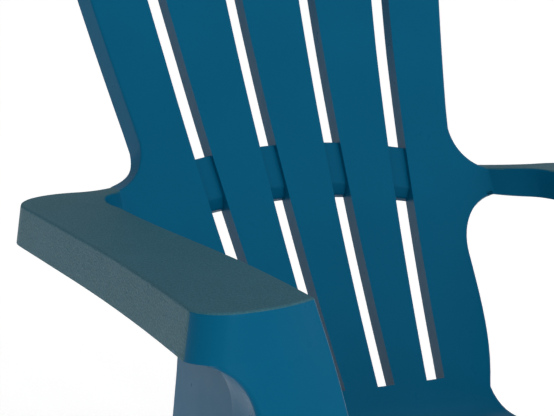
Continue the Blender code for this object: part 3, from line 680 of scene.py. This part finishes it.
def arm_columns():
    """Columns of points down the arm's rounded edge and skirt, going once round its top."""
    upper, lower = front_plan(ARM_Z), front_plan(TEE_Z)
    inner_start = [hook_inner(t) for t in spread(HOOK_CUT, 1.0, 6)[1:]]
    top = [Vector((p.x, p.y, ARM_Z)) for p in inner_start]
    leg_y = upper[0].y
    top += [Vector((arm_inner(y), y, ARM_Z)) for y in spread(HOOK_END_Y, leg_y, 12)[1:-1]]
    feet = []
    for p in top:
        near = smooth((leg_y + SKIRT_RUN - p.y) / SKIRT_RUN)
        foot_x = mix(p.x - SKIRT_LEAN, lower[0].x, near)
        feet.append(Vector((foot_x, p.y, ARM_Z - mix(SKIRT_INNER, SKIRT_OUTER, near))))
    top, feet = top + upper, feet + lower
    outer = []
    for y in spread(upper[-1].y, ARM_REAR - ARM_REAR_R, 12)[1:]:
        outer.append((arm_outer(y), y, 1.0, 0.0))
    shift = arm_outer(ARM_REAR - ARM_REAR_R) - ARM_REAR_R - ARM_REAR_X
    for angle in spread(0.0, pi / 2, 12)[1:-1]:
        outer.append((ARM_REAR_X + shift * cos(angle) + ARM_REAR_R * cos(angle),
                      ARM_REAR - ARM_REAR_R + ARM_REAR_R * sin(angle), cos(angle), sin(angle)))
    for x, y, nx, ny in outer:
        top.append(Vector((x, y, ARM_Z)))
        feet.append(Vector((x + ARM_DRAFT * nx, y + ARM_DRAFT * ny, ARM_Z - SKIRT_OUTER)))
    ends = (HOOK_ROWS[-1][INNER_COUNT:], list(reversed(HOOK_ROWS[-1][:EDGE_COUNT + 1])))
    columns = [ends[0]]
    line = [hook_inner(HOOK_CUT)] + top + [EDGE_END]
    for before, here, after, foot in zip(line, line[1:], line[2:], feet):
        along = after - before
        inward = Vector((-along.y, along.x, 0.0)).normalized()
        turn = (here - before).normalized().dot((after - here).normalized())
        reach = RIM / max(0.6, sqrt((1 + turn) / 2))
        rim = [here + inward * reach * (inset / RIM) + Vector((0, 0, -depth))
               for inset, depth in rim_profile(RIM)]
        columns.append(rim + [rim[-1].lerp(foot, f) for f in spread(0.0, 1.0, SKIRT_STEPS)[1:]])
    columns.append(ends[1])
    return columns


def lay_arm(skin):
    columns = arm_columns()
    skin.both_sides(columns, "arm_")
    cap = [column[0] for column in columns]
    cap += HOOK_ROWS[-1][EDGE_COUNT + 1:INNER_COUNT]
    for side, word in SIDES:
        skin.face([Vector((p.x * side, p.y, p.z)) for p in cap], "arm_" + word)


# -------------------------------------------------------------- members that stand on their own
def round_path(points, reach):
    """A path of points with every inner corner rounded."""
    path = [points[0]]
    for before, corner, after in zip(points, points[1:], points[2:]):
        path += rounded(corner, before - corner, after - corner, reach)
    return path + [points[-1]]


def lay_waist_band(skin):
    """Recessed band behind the slats, with its lower ramp."""
    section = [(BAND_TOP, -SLOT_DEPTH), (BAND_TOP, -BAND_RECESS),
               (BAND_BOTTOM + BAND_RAMP, -BAND_RECESS),
               (BAND_BOTTOM, -BAND_RECESS - BAND_RAMP_DEPTH), (BAND_BOTTOM, -SLOT_DEPTH)]
    section = round_path([Vector((0.0, s, n)) for s, n in section], SLOT_RIM)
    half = slot_line(SLOT_OUTER, 1, 0.0) + BAND_OVERLAP
    rows = [[surface(x, p.y + BAND_ARCH * x * x, p.z) for x in spread(-half, half, 36)]
            for p in section]
    skin.grid(rows, "back_waist_band")


def rear_leg_corners(step):
    (front_y0, front_z0), (rear_y0, rear_z0) = REAR_LEG_TOP
    x = REAR_LEG_TOP_X + (REAR_LEG_FOOT_X - REAR_LEG_TOP_X) * step
    lift = ANKLE_Z * step
    front = Vector((x, front_y0 + (REAR_LEG_FOOT[0] - front_y0) * step, front_z0 * (1 - step) + lift))
    rear = Vector((x, rear_y0 + (REAR_LEG_FOOT[1] - rear_y0) * step, rear_z0 * (1 - step) + lift))
    return front, rear


def lay_rear_legs(skin):
    turn = Vector((-REAR_LEG_FLANGE, 0.0, 0.0))
    rows = []
    for step in spread(0.0, 1.0, 16):
        front, rear = rear_leg_corners(step)
        rows.append([front + turn, front, rear, rear + turn])
    down = Vector((0.0, 0.0, PAD - ANKLE_Z))
    for share in (0.5, 1.0):
        rows.append([corner + down * share for corner in rows[16]])
    skin.both_sides([round_path(row, REAR_LEG_RIM) for row in rows], "rear_leg_")


def lay_rear_stretcher(skin):
    front, rear = rear_leg_corners(STRETCHER_STEP)
    half, middle = front.x - SHELL - STRETCHER_GAP, (front + rear) / 2
    rows = []
    for f in spread(-1.0, 1.0, 12):
        corners = [Vector((f * half, middle.y + dy, middle.z + dz)) for dy, dz in STRETCHER_SECTION]
        rows.append(round_path(corners, STRETCHER_RIM))
    skin.grid(rows, "rear_stretcher")


def lay_seat_ribs(skin):
    rows = []
    for n in spread(-LIP, -RIB_DEPTH, 4):
        rows.append([surface(RIB_X, BASE_S - q, n) for q in
                     spread(BEND_LENGTH, BEND_LENGTH + RIB_RUN, 24)])
    skin.both_sides(rows, "seat_rib_")


# ---------------------------------------------------------------------- from skin to shells
def finish_skin(skin, rim_radius):
    """Weld the patches, face them outwards and round every edge that is still sharp."""
    bm = skin.bm
    bmesh.ops.translate(bm, verts=bm.verts, vec=(0.0, CENTRE_Y, 0.0))
    bmesh.ops.remove_doubles(bm, verts=bm.verts, dist=WELD)
    bmesh.ops.recalc_face_normals(bm, faces=bm.faces)
    bm.normal_update()
    if rim_radius:
        sharp = [e for e in bm.edges if e.is_manifold and e.calc_face_angle() > SHARP]
        bmesh.ops.bevel(bm, geom=sharp, offset=rim_radius, offset_type="OFFSET", segments=3,
                        profile=0.5, affect="EDGES", clamp_overlap=True, material=-1)
        bm.normal_update()


def vertex_normals(bm):
    """Normals weighted by face area, so that flat faces stay flat beside a rounding."""
    normals = {}
    for vertex in bm.verts:
        total = Vector((0.0, 0.0, 0.0))
        for face in vertex.link_faces:
            total += face.normal * face.calc_area()
        normals[vertex] = total.normalized() if total.length > 0 else Vector((0, 0, 1))
    return normals


def part_shells(skin):
    """One closed shell for each member of the skin; the joins keep the shared normals."""
    bm = skin.bm
    normals = vertex_normals(bm)
    groups = {}
    for face in bm.faces:
        groups.setdefault(face.material_index, []).append(face)
    return [make_shell(NODE_NAMES[index], faces, normals)
            for index, faces in sorted(groups.items())]


def make_shell(node, faces, normals):
    """Thicken a member's faces inwards, with each inner point straight below its outer one."""
    order, corners = {}, []
    for face in faces:
        for vertex in face.verts:
            order.setdefault(vertex, len(order))
        corners.append([order[v] for v in face.verts])
    mesh = bpy.data.meshes.new(node + "_shell")
    mesh.from_pydata([v.co for v in order], [], corners)
    outer_normals = [normals[v] for v in order]
    shell = bpy.data.objects.new(node + "_shell", mesh)
    bpy.context.scene.collection.objects.link(shell)
    wall = shell.modifiers.new("wall", "SOLIDIFY")
    wall.thickness, wall.offset = SHELL, -1.0
    solid = bpy.data.meshes.new_from_object(shell.evaluated_get(
        bpy.context.evaluated_depsgraph_get()))
    shell.modifiers.clear()
    shell.data = solid
    solid.name = node + "_shell"
    bpy.data.meshes.remove(mesh)
    solid.shade_smooth()
    count = len(outer_normals)
    for outer, inner in zip(range(count), range(count, 2 * count)):
        solid.vertices[inner].co = solid.vertices[outer].co - outer_normals[outer] * SHELL
    custom = [None] * len(solid.loops)
    for polygon in solid.polygons:
        outside = all(v < count for v in polygon.vertices)
        inside = all(v >= count for v in polygon.vertices)
        for loop in polygon.loop_indices:
            vertex = solid.loops[loop].vertex_index
            if outside:
                custom[loop] = outer_normals[vertex]
            elif inside:
                custom[loop] = -outer_normals[vertex - count]
            else:
                custom[loop] = polygon.normal
    solid.normals_split_custom_set([tuple(n) for n in custom])
    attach(shell, "root")
    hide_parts(node)
    return shell


# --------------------------------------------------------------------------------- materials
def new_material(name):
    material = bpy.data.materials.new(name)
    material.use_nodes = True
    nodes, links = material.node_tree.nodes, material.node_tree.links
    return material, nodes, links, nodes["Principled BSDF"]


def noise(nodes, links, coordinates, scale, detail=2.0, roughness=0.5):
    node = nodes.new("ShaderNodeTexNoise")
    node.inputs["Scale"].default_value = scale
    node.inputs["Detail"].default_value = detail
    node.inputs["Roughness"].default_value = roughness
    links.new(coordinates.outputs["Object"], node.inputs["Vector"])
    return node


def ramp(nodes, links, source, stops):
    node = nodes.new("ShaderNodeValToRGB")
    while len(node.color_ramp.elements) < len(stops):
        node.color_ramp.elements.new(0.5)
    for element, (position, colour) in zip(node.color_ramp.elements, stops):
        element.position, element.color = position, (*colour, 1.0)
    links.new(source, node.inputs["Fac"])
    return node


def bump(nodes, links, height, strength, distance, below=None):
    node = nodes.new("ShaderNodeBump")
    node.inputs["Strength"].default_value = strength
    node.inputs["Distance"].default_value = distance
    links.new(height, node.inputs["Height"])
    if below:
        links.new(below.outputs["Normal"], node.inputs["Normal"])
    return node


def smooth_resin():
    """Semi-gloss moulded face: faint flow mottling, a slight orange peel and soft gloss."""
    material, nodes, links, shader = new_material("smooth_resin")
    place = nodes.new("ShaderNodeTexCoord")
    flow = noise(nodes, links, place, 5.5, 3.0, 0.55)
    colour = ramp(nodes, links, flow.outputs["Fac"],
                  ((0.30, (0.0, 0.073, 0.148)), (0.70, (0.0, 0.081, 0.163))))
    links.new(colour.outputs["Color"], shader.inputs["Base Color"])
    haze = noise(nodes, links, place, 38.0, 3.0, 0.6)
    gloss = ramp(nodes, links, haze.outputs["Fac"], ((0.3, (0.27,) * 3), (0.7, (0.35,) * 3)))
    links.new(gloss.outputs["Color"], shader.inputs["Roughness"])
    peel = noise(nodes, links, place, 420.0, 2.0, 0.5)
    swell = noise(nodes, links, place, 16.0, 1.0, 0.4)
    fine = bump(nodes, links, peel.outputs["Fac"], 0.10, 0.0004)
    broad = bump(nodes, links, swell.outputs["Fac"], 0.10, 0.0020, fine)
    links.new(broad.outputs["Normal"], shader.inputs["Normal"])
    shader.inputs["Specular IOR Level"].default_value = 0.07
    shader.inputs["Specular Tint"].default_value = (0.45, 0.85, 1.0, 1.0)
    return material


def grained_resin():
    """Leather-like moulded grain on the arms, with painted sheen: lighter, greyer specks in the base
    colour where the grain would catch the light.
    """
    material, nodes, links, shader = new_material("grained_resin")
    place = nodes.new("ShaderNodeTexCoord")
    patches = noise(nodes, links, place, 14.0, 4.0, 0.6)
    grain = noise(nodes, links, place, 620.0, 3.0, 0.65)
    tone = ramp(nodes, links, patches.outputs["Fac"],
                ((0.30, (0.004, 0.072, 0.102)), (0.72, (0.010, 0.088, 0.124))))
    # painted sheen: lighter, greyer specks, keyed to the grain noise, mixed into the base colour in
    # place of the light the grain catches
    painted_grain_sheen = ramp(nodes, links, grain.outputs["Fac"],
                 ((0.36, (0.001, 0.050, 0.078)), (0.66, (0.030, 0.115, 0.150))))
    blend = nodes.new("ShaderNodeMix")
    blend.data_type = "RGBA"
    blend.inputs["Factor"].default_value = 0.45
    links.new(tone.outputs["Color"], blend.inputs["A"])
    links.new(painted_grain_sheen.outputs["Color"], blend.inputs["B"])
    links.new(blend.outputs["Result"], shader.inputs["Base Color"])
    rough = ramp(nodes, links, grain.outputs["Fac"], ((0.3, (0.62,) * 3), (0.7, (0.46,) * 3)))
    links.new(rough.outputs["Color"], shader.inputs["Roughness"])
    pebble = nodes.new("ShaderNodeTexVoronoi")
    pebble.inputs["Scale"].default_value = 480.0
    links.new(place.outputs["Object"], pebble.inputs["Vector"])
    cells = bump(nodes, links, pebble.outputs["Distance"], 0.55, 0.0005)
    fine = bump(nodes, links, grain.outputs["Fac"], 0.45, 0.0004, cells)
    links.new(fine.outputs["Normal"], shader.inputs["Normal"])
    shader.inputs["Specular IOR Level"].default_value = 0.30
    return material


def foot_rubber():
    material, nodes, links, shader = new_material("foot_pad")
    place = nodes.new("ShaderNodeTexCoord")
    wear = noise(nodes, links, place, 60.0, 4.0, 0.65)
    colour = ramp(nodes, links, wear.outputs["Fac"],
                  ((0.3, (0.012, 0.014, 0.016)), (0.7, (0.030, 0.033, 0.036))))
    links.new(colour.outputs["Color"], shader.inputs["Base Color"])
    stipple = noise(nodes, links, place, 700.0, 2.0, 0.5)
    grain = bump(nodes, links, stipple.outputs["Fac"], 0.4, 0.0004)
    links.new(grain.outputs["Normal"], shader.inputs["Normal"])
    shader.inputs["Roughness"].default_value = 0.82
    return material


# ------------------------------------------------------------------------ camera, light, floor
def place_camera():
    data = bpy.data.cameras.new("camera")
    data.sensor_width, data.lens = CAMERA_SENSOR, CAMERA_LENS
    data.clip_start, data.clip_end = 0.05, 60.0
    camera = bpy.data.objects.new("camera", data)
    camera.location = CAMERA_PLACE
    camera.rotation_euler = (radians(90 - CAMERA_DIP), 0.0, radians(CAMERA_TURN))
    bpy.context.scene.collection.objects.link(camera)
    bpy.context.scene.camera = camera


def softbox(name, place, target, size, power):
    data = bpy.data.lights.new(name, "AREA")
    data.shape, data.size, data.size_y = "RECTANGLE", *size
    data.energy = power
    light = bpy.data.objects.new(name, data)
    light.location = place
    light.rotation_euler = (Vector(target) - Vector(place)).to_track_quat("-Z", "Y").to_euler()
    bpy.context.scene.collection.objects.link(light)


def set_the_light():
    world = bpy.data.worlds.new("studio")
    world.use_nodes = True
    nodes, links = world.node_tree.nodes, world.node_tree.links
    place = nodes.new("ShaderNodeTexCoord")
    parts = nodes.new("ShaderNodeSeparateXYZ")
    links.new(place.outputs["Generated"], parts.inputs["Vector"])
    level = SKY_LEVEL
    for axis, gain in SKY_GAINS:
        step = nodes.new("ShaderNodeMath")
        step.operation = "MULTIPLY_ADD"
        links.new(parts.outputs[axis], step.inputs[0])
        step.inputs[1].default_value = gain
        if isinstance(level, float):
            step.inputs[2].default_value = level
        else:
            links.new(level, step.inputs[2])
        level = step.outputs[0]
    links.new(level, nodes["Background"].inputs["Color"])
    nodes["Background"].inputs["Strength"].default_value = 1.0
    bpy.context.scene.world = world
    bpy.context.scene.view_settings.view_transform = "Standard"
    softbox("strip", STRIP_PLACE, STRIP_TARGET, STRIP_SIZE, STRIP_POWER)


def lay_floor():
    """A wide pale disc under the chair."""
    bm = bmesh.new()
    bmesh.ops.create_circle(bm, cap_ends=True, segments=96, radius=FLOOR_RADIUS)
    mesh = bpy.data.meshes.new("floor")
    bm.to_mesh(mesh)
    bm.free()
    floor = bpy.data.objects.new("floor", mesh)
    bpy.context.scene.collection.objects.link(floor)
    material, nodes, links, shader = new_material("pale_floor")
    place = nodes.new("ShaderNodeTexCoord")
    cloud = noise(nodes, links, place, 1.2, 2.0, 0.5)
    colour = ramp(nodes, links, cloud.outputs["Fac"],
                  ((0.3, (0.94, 0.94, 0.94)), (0.7, (0.96, 0.96, 0.96))))
    links.new(colour.outputs["Color"], shader.inputs["Base Color"])
    shader.inputs["Roughness"].default_value = 0.9
    shader.inputs["Emission Color"].default_value = (1.0, 1.0, 1.0, 1.0)
    shader.inputs["Emission Strength"].default_value = FLOOR_GLOW
    floor.data.materials.append(material)


# ------------------------------------------------------------------------------- the chair
def build_shells():
    moulding = Skin()
    lay_back_and_seat(moulding)
    moulding.both_sides(HOOK_ROWS, "arm_corner_")
    lay_arm(moulding)
    lay_leg(moulding)
    finish_skin(moulding, SLOT_RIM)
    shells = part_shells(moulding)
    for lay in (lay_waist_band, lay_rear_legs, lay_rear_stretcher, lay_seat_ribs):
        extra = Skin()
        lay(extra)
        finish_skin(extra, 0.0)
        shells += part_shells(extra)
    return shells


def is_grained(polygon):
    """The grain covers an arm's top and its outer skirt, not its front or its inner side."""
    normal, centre = polygon.normal, polygon.center
    if normal.z > 0.5:
        return True
    outward = normal.x if centre.x > 0 else -normal.x
    return normal.z > -0.2 and outward > 0.0 and normal.y > -0.17


def dress(shells):
    resin, grained, rubber = smooth_resin(), grained_resin(), foot_rubber()
    for shell in shells:
        part_grained = shell.name.startswith("arm_")
        shell.data.materials.clear()
        for material in (grained, resin) if part_grained else (resin,):
            shell.data.materials.append(material)
        for polygon in shell.data.polygons:
            polygon.material_index = int(part_grained and not is_grained(polygon))
    for name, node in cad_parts.items():
        node.data.materials.clear()
        node.data.materials.append(rubber if "foot" in name else resin)


place_camera()
set_the_light()
lay_floor()
dress(build_shells())
